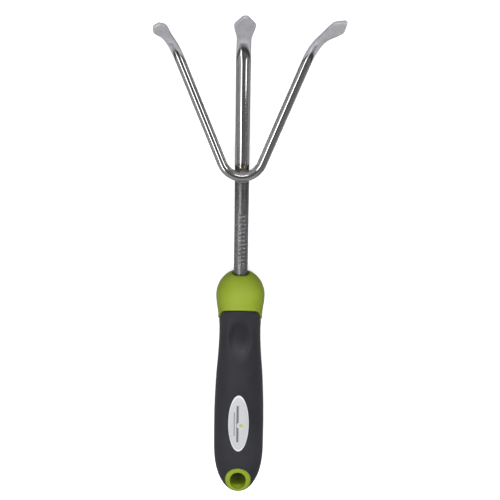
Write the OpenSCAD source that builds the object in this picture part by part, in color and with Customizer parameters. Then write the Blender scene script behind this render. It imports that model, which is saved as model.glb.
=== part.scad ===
// Three-tined hand cultivator: a welded steel head in a two-colour moulded handle.
// Millimetres. The tool lies on its back: +Y runs from the handle to the tines, +Z is the
// side that carries the badge, and the tine ends bend up to +Z.
// The origin is the centre of the hanging hole. The main bar's axis is the line x = 0, z = 0.

/* [Steel head] */
// Diameter of the main bar, which is both the neck and the middle tine
bar_d = 8; // [6:0.5:10]
// Diameter of the bar that makes both outer tines
rod_d = 5.4; // [4.4:0.2:7]
// Distance from the hanging hole to the lowest point of the V, on the rod's centre line
vee_y = 197.2; // [180:0.5:215]
// Angle between an outer arm and the main bar
arm_angle = 21.9; // [16:0.1:28]
// Radius of the V's round bottom, on the rod's centre line
vee_r = 11.8; // [9:0.1:16]
// Distance from the hanging hole to where the middle tine starts to bend up
mid_bend_y = 259; // [250:0.5:265]
// Distance from the hanging hole to where the outer tines start to bend up
side_bend_y = 261.2; // [250:0.1:265]
// Radius of the upward bend, on the centre line
bend_r = 20; // [12:0.5:24]
// Angle of the upward bend, the same for all three tines
bend_angle = 50; // [40:1:75]

/* [Middle blade] */
// Length of the middle blade beyond the bend
mid_blade_l = 16.2; // [12:0.1:24]
// Width of the middle blade at its shoulders
mid_blade_w = 11.5; // [8.5:0.1:15]
// Width of the middle blade's point
mid_point_w = 2; // [1:0.1:4]
// How far the middle tine's bend leans to the right
mid_lean = 3; // [-10:0.5:10]

/* [Outer blades] */
// Length of the left blade beyond the bend
left_blade_l = 9.4; // [8:0.1:20]
// Length of the right blade beyond the bend
right_blade_l = 18.5; // [9:0.1:22]
// Width of the left blade at its shoulders
left_blade_w = 8.1; // [6:0.1:10]
// Width of the right blade at its shoulders
right_blade_w = 8.1; // [6:0.1:10]
// How far the left tine's bend leans outwards
left_lean = 12.2; // [0:0.1:35]
// How far the right tine's bend leans outwards
right_lean = 23.6; // [0:0.1:35]
// How far the left blade is twisted on its own axis
left_twist = 3.2; // [0:0.1:30]
// How far the right blade is twisted on its own axis
right_twist = 14.4; // [0:0.1:30]
// Width of the left blade's blunt point
left_point_w = 3.4; // [1:0.1:4]
// Width of the right blade's point
right_point_w = 1.6; // [1:0.1:4]
// How far the left blade's inner shoulder is set forward, as a part of its half width
left_skew = 0.14; // [0:0.01:0.4]
// How far the right blade's inner shoulder is set forward, as a part of its half width
right_skew = 0.21; // [0:0.01:0.4]
// Thickness of every blade at its shoulders
blade_t = 2.4; // [1.6:0.1:3]

/* [Handle] */
// Distance from the hanging hole to the widest ring of the collar
collar_y = 123; // [120:0.1:126]
// Radius of the collar at its widest ring
collar_r = 14.3; // [13:0.1:15.5]
// Length of the collar's domed crown, if it closed
crown_l = 15.9; // [12:0.1:18]
// Radius of the crown's flat top, around the neck
crown_rim_r = 6.2; // [5.2:0.1:7]
// Distance from the hanging hole to the butt end of the handle
butt_l = 11.5; // [10.5:0.1:14]
// Length over which the butt narrows, seen from above
nose_l = 34; // [24:0.5:38]
// Length over which the butt rounds off, seen from the side
butt_round = 13; // [11.5:0.5:20]
// Thickness of the soft grip over the spine
sleeve_t = 2.6; // [1.6:0.1:3.2]

/* [Grip edge] */
// Distance from the hanging hole to the grip's upper edge, at the middle of its arch
arch_y = 118.7; // [114:0.1:121]
// How far the collar's two side prongs reach down past the arch
prong_l = 10.6; // [4:0.1:16]

/* [Thumb hollow] */
// Distance from the hanging hole to the middle of the hollow
thumb_y = 97; // [90:0.5:102]
// Half length of the hollow
thumb_l = 15; // [10:0.5:20]
// Half width of the hollow
thumb_w = 8.5; // [5:0.5:10]
// Depth of the hollow
thumb_depth = 1.4; // [0.4:0.1:2]

/* [Hanging eye] */
// Radius of the round hanging hole
hole_r = 5; // [3:0.1:5.5]
// Width of the green ring around the hole
eye_wall = 3.2; // [2:0.1:3.6]
// How much longer than wide the ring is, on each side
eye_stretch = 1.15; // [0:0.05:2]
// Thickness of the handle at the eye, face to face
eye_t = 17.6; // [14:0.1:20]

/* [Tang] */
// Length of the bar inside the handle
tang_l = 92; // [60:1:100]
// Length of the flattened stretch at the tang's end
tang_flat_l = 40; // [20:1:50]
// Thickness across the tang's two flats
tang_flat_t = 5; // [4:0.1:7]

/* [Badge] */
// Length of the oval badge
badge_l = 40; // [30:0.5:44]
// Width of the oval badge
badge_w = 13; // [9:0.1:14]
// Distance from the hanging hole to the badge's centre
badge_y = 43; // [40:0.5:48]
// Thickness of the badge
badge_t = 0.8; // [0.5:0.1:1.2]
// How deep the badge sits in the grip
badge_seat = 0.5; // [0.2:0.1:0.8]

/* [Hidden] */

bar_r = bar_d / 2;
rod_r = rod_d / 2;
// The V lies on the badge side of the main bar and touches it.
rod_z = bar_r + rod_r;
neck_y = collar_y + crown_l * sqrt(1 - pow(crown_rim_r / collar_r, 2));
tang_y = neck_y - tang_l;
// The neck stands in a shallow round recess of the crown.
recess_r = bar_r + 0.8;
recess_depth = 1.2;
fit_gap = 0.02;
ring_n = 24;
skin_n = 48;
handle_n = 2.2;

// The handle's stations along Y: distance from the hanging hole, half width,
// height over the bar's axis and depth under it. Between them they follow a smooth curve.
GRIP = [
    [-20, 15.3, 8.5, 8.5],
    [0, 15.4, 8.6, 8.6],
    [12, 15.4, 9.6, 10.2],
    [28, 15.4, 11.4, 12.6],
    [48, 15.2, 12.6, 13.8],
    [70, 14.2, 12.4, 13.2],
    [84, 13.1, 11.4, 11.8],
    [96, 12.4, 10.8, 10.8],
    [106, 12.4, 11.2, 11.0],
    [114, 13.3, 12.8, 12.6],
    [collar_y, collar_r, collar_r - 0.3, collar_r - 0.3],
    [collar_y + 20, collar_r, collar_r - 0.3, collar_r - 0.3]
];

// --- Smooth curves through stations ---
function span_at(t, y, i = 0) = (i >= len(t) - 2 || y < t[i + 1][0]) ? i : span_at(t, y, i + 1);
function slope_at(t, c, i) =
    let (a = max(i - 1, 0), b = min(i + 1, len(t) - 1))
    (t[b][c] - t[a][c]) / (t[b][0] - t[a][0]);
function curve_at(t, c, y) =
    let (i = span_at(t, y), h = t[i + 1][0] - t[i][0], u = (y - t[i][0]) / h)
    (2 * u * u * u - 3 * u * u + 1) * t[i][c] + (u * u * u - 2 * u * u + u) * h * slope_at(t, c, i)
    + (3 * u * u - 2 * u * u * u) * t[i + 1][c] + (u * u * u - u * u) * h * slope_at(t, c, i + 1);

// A rounded rectangle's outline: n = 2 is an ellipse, and a larger n is squarer.
function round_x(angle, n) = sign(cos(angle)) * pow(abs(cos(angle)), 2 / n);
function round_y(angle, n) = sign(sin(angle)) * pow(abs(sin(angle)), 2 / n);

// --- Handle surface ---
// The butt is a rounded nose, and the crown closes like a dome around the neck.
function nose(y, inset, length) =
    let (u = max(0, 1 - (y + butt_l - inset) / length))
    sqrt(max(0, 1 - pow(u, 2.4)));
function crown(y) = y < collar_y ? 1 : sqrt(max(0, 1 - pow((y - collar_y) / crown_l, 2)));
function thumb_dip(x, y) =
    let (q = 1 - pow(x / thumb_w, 2) - pow((y - thumb_y) / thumb_l, 2))
    q > 0 ? thumb_depth * q * (2 - q) : 0;
function half_width(y, inset) =
    (curve_at(GRIP, 1, y) - inset) * nose(y, inset, nose_l) * crown(y);
function half_height(y, inset, side) =
    (curve_at(GRIP, side, y) - inset) * nose(y, inset, butt_round) * crown(y);
// A point of the handle's outer surface, or of the spine when inset is the grip's thickness.
function handle_point(y, angle, inset) =
    let (
        x = half_width(y, inset) * round_x(angle, handle_n),
        z = half_height(y, inset, sin(angle) > 0 ? 2 : 3) * round_y(angle, handle_n)
    )
    [x, y, z > 0 ? z - thumb_dip(x, y) : z];
// The height of the badge side at a place.
function top_z(x, y) =
    half_height(y, 0, 2) * pow(1 - pow(abs(x) / half_width(y, 0), handle_n), 1 / handle_n);
// The grip's upper edge: high in front and behind, low at the two prongs.
function edge_y(angle) =
    arch_y - prong_l * (1 - sqrt(pow(sin(angle), 2) + 0.012) / sqrt(1.012));

// --- Solids from rings of points ---
// Rings of equal length, each joined to the next, with both ends closed to their middles.
module skin(rings) {
    n = len(rings[0]);
    m = len(rings);
    function mean_of(ring) = [for (c = [0:2]) [for (p = ring) 1] * [for (p = ring) p[c]] / n];
    points = concat([for (r = rings) each r], [mean_of(rings[0])], [mean_of(rings[m - 1])]);
    walls = [for (i = [0:m - 2], j = [0:n - 1]) let (k = (j + 1) % n)
        each [[i * n + j, i * n + k, i * n + n + j], [i * n + k, i * n + n + k, i * n + n + j]]];
    first_cap = [for (j = [0:n - 1]) [m * n, (j + 1) % n, j]];
    last_cap = [for (j = [0:n - 1]) [m * n + 1, (m - 1) * n + j, (m - 1) * n + (j + 1) % n]];
    polyhedron(points = points, faces = concat(walls, first_cap, last_cap), convexity = 10);
}
function turns(n) = [for (j = [0:n - 1]) 360 * j / n];

// --- Tines ---
// A blade: its tine's lean, its length, its widths at the shoulders and the point, its skew and
// twist, and the part of its length at which its shoulders lie.
mid_blade = [mid_lean, mid_blade_l, mid_blade_w, mid_point_w, 0, 0, 0.56];
left_blade = [left_lean, left_blade_l, left_blade_w, left_point_w, -left_skew, left_twist, 0.6];
right_blade = [right_lean, right_blade_l, right_blade_w, right_point_w, -right_skew,
    right_twist, 0.66];
// A blade starts to widen a little before its bend ends.
widen_lead = 4.7;

// A tine is bent in one plane, which holds the arm and leans a little sideways from upright.
// A frame is [place, sideways direction, thickness direction, forward direction].
function tine_frame(start, arm, lean, turn, beyond) =
    let (
        along = [sin(arm), cos(arm), 0],
        across = [cos(arm), -sin(arm), 0],
        up = [0, 0, cos(lean)] + sin(lean) * across,
        forward = cos(turn) * along + sin(turn) * up
    )
    [
        start + bend_r * (sin(turn) * along + (1 - cos(turn)) * up) + beyond * forward,
        cos(lean) * across - [0, 0, sin(lean)],
        cos(turn) * up - sin(turn) * along,
        forward
    ];
function level_frame(place, across) = [place, across, [0, 0, 1], cross([0, 0, 1], across)];
function twisted(frame, twist) = [
    frame[0],
    cos(twist) * frame[1] + sin(twist) * frame[2],
    cos(twist) * frame[2] - sin(twist) * frame[1],
    frame[3]
];
// A ring of the bar in a frame. The skew sets one edge forward of the other.
function ring_at(frame, w, t, n, skew = 0) =
    [for (a = turns(ring_n))
        frame[0] + (frame[1] + skew * frame[3]) * w / 2 * round_x(a, n)
        + frame[2] * t / 2 * round_y(a, n)];
function ease(u) = u * u * (3 - 2 * u);
// How far a blade has widened at a distance past its bend's end, from 0 to 1.
function widening(blade, past) =
    ease(max(0, min(1, (past + widen_lead) / (blade[6] * blade[1] + widen_lead))));
// Rings of a tine's bent and forged end. The blade widens to its shoulders, then comes to a point.
function tine_end(start, arm, d, blade) =
    let (
        lean = blade[0], blade_l = blade[1], blade_w = blade[2], point_w = blade[3],
        skew = blade[4], twist = blade[5], shoulder = blade[6] * blade_l,
        neck_w = 0.95 * d, neck_t = blade_t + 0.8
    )
    concat(
        [for (k = [0:9])
            let (u = k / 9, e = ease(u),
                wide = widening(blade, -(1 - u) * bend_angle * bend_r * PI / 180))
            ring_at(twisted(tine_frame(start, arm, lean, bend_angle * u, 0), twist * wide),
                d + (neck_w - d) * e + (blade_w - neck_w) * wide,
                d + (neck_t - d) * e, 2 + 0.8 * e)],
        [for (k = [1:5])
            let (u = k / 5, e = ease(u), wide = widening(blade, shoulder * u))
            ring_at(twisted(tine_frame(start, arm, lean, bend_angle, shoulder * u), twist * wide),
                neck_w + (blade_w - neck_w) * wide, neck_t + (blade_t - neck_t) * e,
                2.8 + 1.2 * e, skew * e)],
        [for (k = [1:4]) let (u = k / 4, past = shoulder + (blade_l - shoulder) * u)
            ring_at(twisted(tine_frame(start, arm, lean, bend_angle, past), twist),
                blade_w + (point_w - blade_w) * u, blade_t * (1 - 0.4 * u), 4, skew)]
    );

module center_tine() {
    // The bent end is a hair wider than the straight bar, which ends inside it, so the two are one.
    end_d = 1.012 * bar_d;
    socket = bar_d / 4;
    color("silver") {
        difference() {
            translate([0, tang_y, 0]) rotate([-90, 0, 0])
                cylinder(r = bar_r, h = mid_bend_y - socket / 2 - tang_y, $fn = 96);
            tang_flats();
        }
        root = ring_at(level_frame([0, mid_bend_y - socket, 0], [1, 0, 0]), end_d, end_d, 2);
        end = tine_end([0, mid_bend_y, 0], 0, end_d, mid_blade);
        skin(concat([root], end));
    }
}

// The two slices that leave the tang's flats.
module tang_flats() {
    for (s = [-1, 1])
        translate([-bar_d, tang_y - 1, s > 0 ? tang_flat_t / 2 : -tang_flat_t / 2 - bar_d])
            cube([2 * bar_d, tang_flat_l + 1, bar_d]);
}

// The V: half of its rings run from the bottom up one arm and round the bend.
function arm_rings(blade) =
    let (
        center = [0, vee_y + vee_r, rod_z],
        along = [sin(arm_angle), cos(arm_angle), 0],
        across = [cos(arm_angle), -sin(arm_angle), 0],
        leave = center + vee_r * across,
        arm_l = (side_bend_y - leave[1]) / cos(arm_angle)
    )
    concat(
        [for (k = [1:9]) let (a = -90 + (90 - arm_angle) * k / 9, out = [cos(a), sin(a), 0])
            ring_at(level_frame(center + vee_r * out, out), rod_d, rod_d, 2)],
        [for (k = [1:3])
            ring_at(level_frame(leave + arm_l * k / 4 * along, across), rod_d, rod_d, 2)],
        tine_end(leave + arm_l * along, arm_angle, rod_d, blade)
    );
function mirrored(rings) = [for (r = backwards(rings)) [for (p = r) [-p[0], p[1], p[2]]]];

module outer_tines() {
    right = arm_rings(right_blade);
    left = arm_rings(left_blade);
    bottom = ring_at(level_frame([0, vee_y, rod_z], [0, -1, 0]), rod_d, rod_d, 2);
    color("silver") skin(concat(mirrored(left), [bottom], right));
}

// Two beads fill the corners between the V and the main bar.
module weld_beads() {
    bead_l = 6;
    bead_r = 1.9;
    color("dimgray") difference() {
        for (s = [-1, 1])
            translate([0, vee_y + s * (rod_r - 0.3), bar_r + 0.4])
                rotate([0, 90, 0]) cylinder(r = bead_r, h = bead_l, center = true, $fn = 32);
        translate([0, neck_y, 0]) rotate([-90, 0, 0])
            cylinder(r = bar_r + fit_gap, h = mid_bend_y - neck_y, $fn = 96);
        translate([0, vee_y + vee_r, rod_z])
            rotate_extrude($fn = 96) translate([vee_r, 0]) circle(r = rod_r + fit_gap, $fn = 48);
    }
}

// An oval prism through the handle, whose ends are half circles.
module oval_prism(r, stretch, z_from, z_to) {
    translate([0, 0, z_from]) linear_extrude(z_to - z_from) {
        for (s = [-1, 1]) translate([0, s * stretch]) circle(r = r, $fn = 96);
        translate([-r, -stretch]) square([2 * r, 2 * stretch]);
    }
}

spine_rows = 16;
collar_rows = 12;
function spine_rings() =
    [for (k = [0:spine_rows]) let (u = k / spine_rows, butt = -butt_l + sleeve_t)
        [for (a = turns(skin_n))
            let (e = edge_y(a), y = butt + 0.05 + (e - butt - 0.05) * (1 - cos(90 * u)))
            handle_point(y, a, sleeve_t)]];
function collar_rings() =
    let (top = neck_y - 0.001)
    [for (k = [0:collar_rows]) let (u = k / collar_rows)
        [for (a = turns(skin_n))
            let (e = edge_y(a)) handle_point(e + (top - e) * sin(90 * u), a, 0)]];
function sleeve_rings() =
    [for (k = [0:2 * spine_rows]) let (u = k / (2 * spine_rows))
        [for (a = turns(skin_n))
            let (e = edge_y(a), y = -butt_l + 0.05 + (e + butt_l - 0.05) * (1 - cos(90 * u)))
            handle_point(y, a, 0)]];
function backwards(rings) = [for (i = [len(rings) - 1:-1:0]) rings[i]];

module handle_core() {
    color("yellowgreen") difference() {
        union() {
            skin(concat(spine_rings(), collar_rings()));
            oval_prism(hole_r + eye_wall, eye_stretch, -eye_t / 2, eye_t / 2);
        }
        translate([0, 0, -eye_t]) cylinder(r = hole_r, h = 2 * eye_t, $fn = 96);
        difference() {
            translate([0, tang_y, 0]) rotate([-90, 0, 0])
                cylinder(r = bar_r + fit_gap, h = tang_l + 5, $fn = 96);
            tang_flats();
        }
        translate([0, neck_y - recess_depth, 0]) rotate([-90, 0, 0])
            cylinder(r = recess_r, h = 2 * recess_depth, $fn = 96);
    }
}

module grip_sleeve() {
    color("dimgray") difference() {
        skin(concat(sleeve_rings(), backwards(spine_rings())));
        oval_prism(hole_r + eye_wall, eye_stretch, -2 * eye_t, 2 * eye_t);
        badge_plate();
    }
}

// The badge is a thin oval plate that follows the grip's surface and is let into it.
function badge_ring(part, rise) =
    [for (a = turns(skin_n))
        let (x = part * badge_w / 2 * cos(a), y = badge_y + part * badge_l / 2 * sin(a))
        [x, y, top_z(x, y) + rise]];
module badge_plate() {
    steps = [for (k = [1:4]) k / 4];
    face = [for (u = steps) badge_ring(u, badge_t - badge_seat)];
    back = [for (u = steps) badge_ring(u, -badge_seat)];
    skin(concat(face, backwards(back)));
}
module badge() {
    color("white") badge_plate();
}

center_tine();
outer_tines();
weld_beads();
handle_core();
grip_sleeve();
badge();
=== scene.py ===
import math

import bpy
from bpy.props import FloatProperty, FloatVectorProperty, IntProperty, PointerProperty
from mathutils import Matrix, Vector


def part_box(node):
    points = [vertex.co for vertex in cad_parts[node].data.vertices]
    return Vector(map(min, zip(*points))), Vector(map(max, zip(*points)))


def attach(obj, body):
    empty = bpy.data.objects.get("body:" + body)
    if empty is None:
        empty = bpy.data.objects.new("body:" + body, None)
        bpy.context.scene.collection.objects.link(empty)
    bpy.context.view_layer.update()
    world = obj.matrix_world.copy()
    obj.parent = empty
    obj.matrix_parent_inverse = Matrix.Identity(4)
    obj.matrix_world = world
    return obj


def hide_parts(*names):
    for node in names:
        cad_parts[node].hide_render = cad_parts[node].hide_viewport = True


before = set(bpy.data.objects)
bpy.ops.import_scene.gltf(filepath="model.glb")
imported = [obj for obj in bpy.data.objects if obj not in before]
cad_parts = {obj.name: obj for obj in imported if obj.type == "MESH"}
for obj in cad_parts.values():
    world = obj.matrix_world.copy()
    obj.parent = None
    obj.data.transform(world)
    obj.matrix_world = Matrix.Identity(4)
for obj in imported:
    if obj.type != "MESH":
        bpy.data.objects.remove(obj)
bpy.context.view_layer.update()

bl_info = {
    "name": "Hand cultivator",
    "version": (1, 0, 0),
    "blender": (4, 5, 0),
    "location": "View3D > Sidebar > Cultivator",
    "description": "Builds the steel head, the two-colour handle and the badge of a hand cultivator",
    "category": "Add Mesh",
}

# The tool lies on its back: +Y runs from the handle to the tines, and +Z is the badge side.
# The origin is the middle of the hanging hole, and the main bar's axis is x = 0, z = 0.
MM = 0.001
TINE_LOW, TINE_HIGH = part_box("center_tine")
OUTER_LOW, OUTER_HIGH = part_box("outer_tines")
CORE_LOW, CORE_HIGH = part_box("handle_core")
SLEEVE_LOW, SLEEVE_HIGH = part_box("grip_sleeve")
BADGE_LOW, BADGE_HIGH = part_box("badge")

# Settings that all sizes, all angles and all colours share.
LENGTH = {"subtype": "DISTANCE", "unit": "LENGTH", "precision": 5}
ANGLE = {"subtype": "ANGLE", "unit": "ROTATION"}
COLOUR = {"subtype": "COLOR", "size": 3, "min": 0.0, "max": 1.0}

# Stations of the handle along Y, in millimetres: distance from the hanging hole, half width,
# height over the bar's axis and depth under it. Between them they follow a smooth curve.
GRIP_STATIONS = [
    (-20, 15.3, 8.5, 8.5),
    (0, 15.4, 8.6, 8.6),
    (12, 15.4, 9.6, 10.2),
    (28, 15.4, 11.4, 12.6),
    (48, 15.2, 12.6, 13.8),
    (70, 14.2, 12.4, 13.2),
    (84, 13.1, 11.4, 11.8),
    (96, 12.4, 10.8, 10.8),
    (106, 12.4, 11.2, 11.0),
    (114, 13.3, 12.8, 12.6),
    (123, 14.3, 14.0, 14.0),
    (143, 14.3, 14.0, 14.0),
]
HALF_WIDTH = 1
TOP = 2
BOTTOM = 3

# Each blade, in degrees and millimetres: how far its bend leans outwards and the blade is twisted,
# its sizes, the part of its length at which its shoulders lie, and how round they are.
# The inner shoulder of an outer blade is set forward by a part of its half width.
BLADES = {
    "middle": {"lean": 3.0, "twist": 0.0, "length": 16.2, "width": 11.5, "point": 2.2,
               "shoulder": 0.56, "set_forward": 0.0, "round": 1.0},
    "left": {"lean": 12.2, "twist": 3.2, "length": 9.4, "width": 8.3, "point": 3.8,
             "shoulder": 0.6, "set_forward": 0.14, "round": 0.8},
    "right": {"lean": 23.6, "twist": 14.4, "length": 18.5, "width": 8.2, "point": 1.4,
              "shoulder": 0.66, "set_forward": 0.21, "round": 0.25},
}


class CultivatorBlade(bpy.types.PropertyGroup):
    """The flattened end of one tine"""

    lean: FloatProperty(
        name="Lean", description="How far the tine's bend leans outwards",
        default=0.0, **ANGLE)
    twist: FloatProperty(
        name="Twist", description="How far the blade is twisted on its own axis",
        default=0.0, **ANGLE)
    shoulder: FloatProperty(
        name="Shoulder", description="Part of the blade's length at which its shoulders lie",
        default=0.56, min=0.3, max=0.9, subtype="FACTOR")
    length: FloatProperty(
        name="Length", description="Length of the blade beyond the bend",
        default=16 * MM, min=5 * MM, **LENGTH)
    width: FloatProperty(
        name="Width", description="Width of the blade at its shoulders",
        default=8 * MM, min=4 * MM, **LENGTH)
    point: FloatProperty(
        name="Point", description="Width of the blade's blunt point",
        default=2 * MM, min=0.5 * MM, **LENGTH)
    set_forward: FloatProperty(
        name="Set forward", description="How far the inner shoulder is set forward",
        default=0.0, min=0.0, max=0.5, subtype="FACTOR")
    round: FloatProperty(
        name="Rounding", description="How much the shoulders are rounded off",
        default=0.5 * MM, min=0.1 * MM, **LENGTH)


class CultivatorHead(bpy.types.PropertyGroup):
    """Sizes of the welded steel head"""

    bar_r: FloatProperty(
        name="Bar radius", description="Radius of the main bar",
        default=-TINE_LOW.z, **LENGTH)
    rod_r: FloatProperty(
        name="Rod radius", description="Radius of the bar that makes both outer tines",
        default=2.7 * MM, **LENGTH)
    tang_y: FloatProperty(
        name="Tang end", description="Where the bar starts inside the handle",
        default=TINE_LOW.y, **LENGTH)
    tang_flat: FloatProperty(
        name="Tang thickness", description="Thickness across the tang's two flats",
        default=5 * MM, **LENGTH)
    tang_flat_l: FloatProperty(
        name="Flat length", description="Length of the tang's flats",
        default=40 * MM, **LENGTH)
    vee_y: FloatProperty(
        name="V bottom", description="Lowest point of the V, on the rod's centre line",
        default=197.2 * MM, **LENGTH)
    vee_r: FloatProperty(
        name="V radius", description="Radius of the V's round bottom",
        default=11.8 * MM, **LENGTH)
    arm_angle: FloatProperty(
        name="Arm angle", description="Angle between an outer arm and the main bar",
        default=math.radians(21.9), **ANGLE)
    mid_bend_y: FloatProperty(
        name="Middle bend", description="Where the middle tine starts to bend up",
        default=259 * MM, **LENGTH)
    side_bend_y: FloatProperty(
        name="Outer bends", description="Where the outer tines start to bend up",
        default=261.2 * MM, **LENGTH)
    bend_r: FloatProperty(
        name="Bend radius", description="Radius of the upward bend",
        default=20 * MM, **LENGTH)
    bend_angle: FloatProperty(
        name="Bend angle", description="Angle of the upward bend",
        default=math.radians(50), **ANGLE)
    widen_lead: FloatProperty(
        name="Widening", description="How far before the bend's end a blade starts to widen",
        default=4.7 * MM, **LENGTH)
    blade_t: FloatProperty(
        name="Blade thickness", description="Thickness of every blade at its shoulders",
        default=2.4 * MM, **LENGTH)
    tick_y: FloatProperty(
        name="First tick", description="Where the row of stamped ticks starts on the neck",
        default=144.4 * MM, **LENGTH)
    tick_pitch: FloatProperty(
        name="Tick pitch", description="Distance between two stamped ticks",
        default=2.4 * MM, **LENGTH)
    tick_count: IntProperty(
        name="Ticks", description="How many plain ticks are stamped in the neck",
        default=13, min=1, max=20)
    middle: PointerProperty(type=CultivatorBlade, name="Middle", description="Middle blade")
    left: PointerProperty(type=CultivatorBlade, name="Left", description="Left blade")
    right: PointerProperty(type=CultivatorBlade, name="Right", description="Right blade")


class CultivatorHandle(bpy.types.PropertyGroup):
    """Sizes of the moulded handle"""

    butt_y: FloatProperty(
        name="Butt", description="Where the handle ends behind the hanging hole",
        default=-12.4 * MM, **LENGTH)
    nose_l: FloatProperty(
        name="Nose", description="Length over which the butt narrows, seen from above",
        default=34 * MM, **LENGTH)
    butt_round: FloatProperty(
        name="Butt rounding", description="Length over which the butt rounds off from the side",
        default=13 * MM, **LENGTH)
    collar_y: FloatProperty(
        name="Collar", description="Where the collar is widest",
        default=123 * MM, **LENGTH)
    crown_l: FloatProperty(
        name="Crown", description="Length of the collar's domed crown, if it closed",
        default=15.9 * MM, **LENGTH)
    sleeve_t: FloatProperty(
        name="Grip thickness", description="Thickness of the soft grip over the spine",
        default=2.6 * MM, **LENGTH)
    arch_y: FloatProperty(
        name="Arch", description="The grip's upper edge at the middle of its arch",
        default=SLEEVE_HIGH.y, **LENGTH)
    prong_l: FloatProperty(
        name="Prongs", description="How far the collar's two side prongs reach down",
        default=10.6 * MM, **LENGTH)
    lip_r: FloatProperty(
        name="Lip radius", description="Rounding of both edges along the seam",
        default=0.9 * MM, **LENGTH)
    thumb_y: FloatProperty(
        name="Thumb hollow", description="Middle of the thumb hollow",
        default=99 * MM, **LENGTH)
    thumb_r: FloatProperty(
        name="Hollow half width", description="Half width of the thumb hollow",
        default=7.6 * MM, **LENGTH)
    thumb_l: FloatProperty(
        name="Hollow half length", description="Half length of the thumb hollow",
        default=15.6 * MM, **LENGTH)
    thumb_depth: FloatProperty(
        name="Hollow depth", description="Depth of the thumb hollow where it is deepest",
        default=2.4 * MM, **LENGTH)
    hole_r: FloatProperty(
        name="Hole radius", description="Radius of the hanging hole",
        default=5 * MM, **LENGTH)
    eye_wall: FloatProperty(
        name="Eye ring", description="Width of the green ring around the hole",
        default=3.2 * MM, **LENGTH)
    eye_stretch: FloatProperty(
        name="Eye stretch", description="How much longer than wide the ring is, on each side",
        default=1.6 * MM, **LENGTH)
    eye_shift: FloatProperty(
        name="Eye shift", description="How far the ring's oval lies towards the butt",
        default=0.55 * MM, **LENGTH)


class CultivatorBadge(bpy.types.PropertyGroup):
    """Sizes of the oval badge"""

    half_width: FloatProperty(
        name="Half width", description="Half of the badge's width",
        default=0.48 * (BADGE_HIGH.x - BADGE_LOW.x), **LENGTH)
    half_length: FloatProperty(
        name="Half length", description="Half of the badge's length",
        default=(BADGE_HIGH.y - BADGE_LOW.y) / 2, **LENGTH)
    middle_y: FloatProperty(
        name="Place", description="Where the middle of the badge is along the handle",
        default=(BADGE_HIGH.y + BADGE_LOW.y) / 2, **LENGTH)
    rise: FloatProperty(
        name="Rise", description="How far the badge stands out of the grip",
        default=0.3 * MM, **LENGTH)
    seat: FloatProperty(
        name="Seat", description="How deep the badge sits in the grip",
        default=0.5 * MM, **LENGTH)
    rim: FloatProperty(
        name="Rim", description="Width of the badge's raised rim",
        default=0.55 * MM, **LENGTH)


class CultivatorColours(bpy.types.PropertyGroup):
    """Colours of the finishes, in linear light"""

    steel: FloatVectorProperty(
        name="Steel", description="Polished steel",
        default=(0.66, 0.655, 0.65), **COLOUR)
    neck: FloatVectorProperty(
        name="Neck", description="Duller steel of the neck",
        default=(0.42, 0.42, 0.435), **COLOUR)
    blade: FloatVectorProperty(
        name="Blades", description="Satin steel of the forged blades",
        default=(0.69, 0.69, 0.73), **COLOUR)
    tint: FloatVectorProperty(
        name="Heat tint", description="Brown heat tint around the weld",
        default=(0.17, 0.125, 0.085), **COLOUR)
    green: FloatVectorProperty(
        name="Green", description="Green plastic of the collar and the eye",
        default=(0.272, 0.362, 0.022), **COLOUR)
    grip: FloatVectorProperty(
        name="Grip", description="Dark soft rubber of the grip",
        default=(0.021, 0.021, 0.026), **COLOUR)
    badge: FloatVectorProperty(
        name="Badge", description="Silver white of the badge",
        default=(0.58, 0.585, 0.6), **COLOUR)


class CultivatorStage(bpy.types.PropertyGroup):
    """Camera, lights and floor"""

    lens: FloatProperty(
        name="Lens", description="Focal length of the camera", default=62.4,
        subtype="DISTANCE_CAMERA", unit="CAMERA")
    tilt: FloatProperty(
        name="Tilt", description="How far the camera leans from straight above to the tines",
        default=math.radians(20), **ANGLE)
    roll: FloatProperty(
        name="Roll", description="How far the camera is rolled about its own axis",
        default=math.radians(0.98), **ANGLE)
    distance: FloatProperty(
        name="Distance", description="Distance from the camera to the point it looks at",
        default=502.6 * MM, subtype="DISTANCE", unit="LENGTH")
    aim_y: FloatProperty(
        name="Aim", description="Where the camera looks along the tool",
        default=151.6 * MM, **LENGTH)
    aim_side: FloatProperty(
        name="Aim aside", description="How far beside the tool's axis the camera looks",
        default=5.22 * MM, **LENGTH)
    floor: FloatVectorProperty(
        name="Floor", description="Pale floor",
        default=(0.86, 0.86, 0.86), **COLOUR)
    strip_power: FloatProperty(
        name="Strip lights", description="Power of the left strip, in which the other two share",
        default=1.6, min=0.0, subtype="POWER", unit="POWER")
    overhead_power: FloatProperty(
        name="Overhead light", description="Power of the large soft light",
        default=16.0, min=0.0, subtype="POWER", unit="POWER")


# --- Modelling by hand: selection, rings of bar stock, sheets ---

def deselect_everything():
    if bpy.context.object and bpy.context.object.mode != "OBJECT":
        bpy.ops.object.mode_set(mode="OBJECT")
    bpy.ops.object.select_all(action="DESELECT")


def make_active(piece):
    """Selects the piece alone and makes it the active one."""
    deselect_everything()
    piece.select_set(True)
    bpy.context.view_layer.objects.active = piece


def select_vertices(piece, wanted):
    """Selects the vertices for which wanted(place) is true, and goes into edit mode."""
    bpy.ops.object.mode_set(mode="OBJECT")
    for polygon in piece.data.polygons:
        polygon.select = False
    for edge in piece.data.edges:
        edge.select = False
    for vertex in piece.data.vertices:
        vertex.select = wanted(vertex.co)
    bpy.ops.object.mode_set(mode="EDIT")
    bpy.ops.mesh.select_mode(type="VERT")


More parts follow.
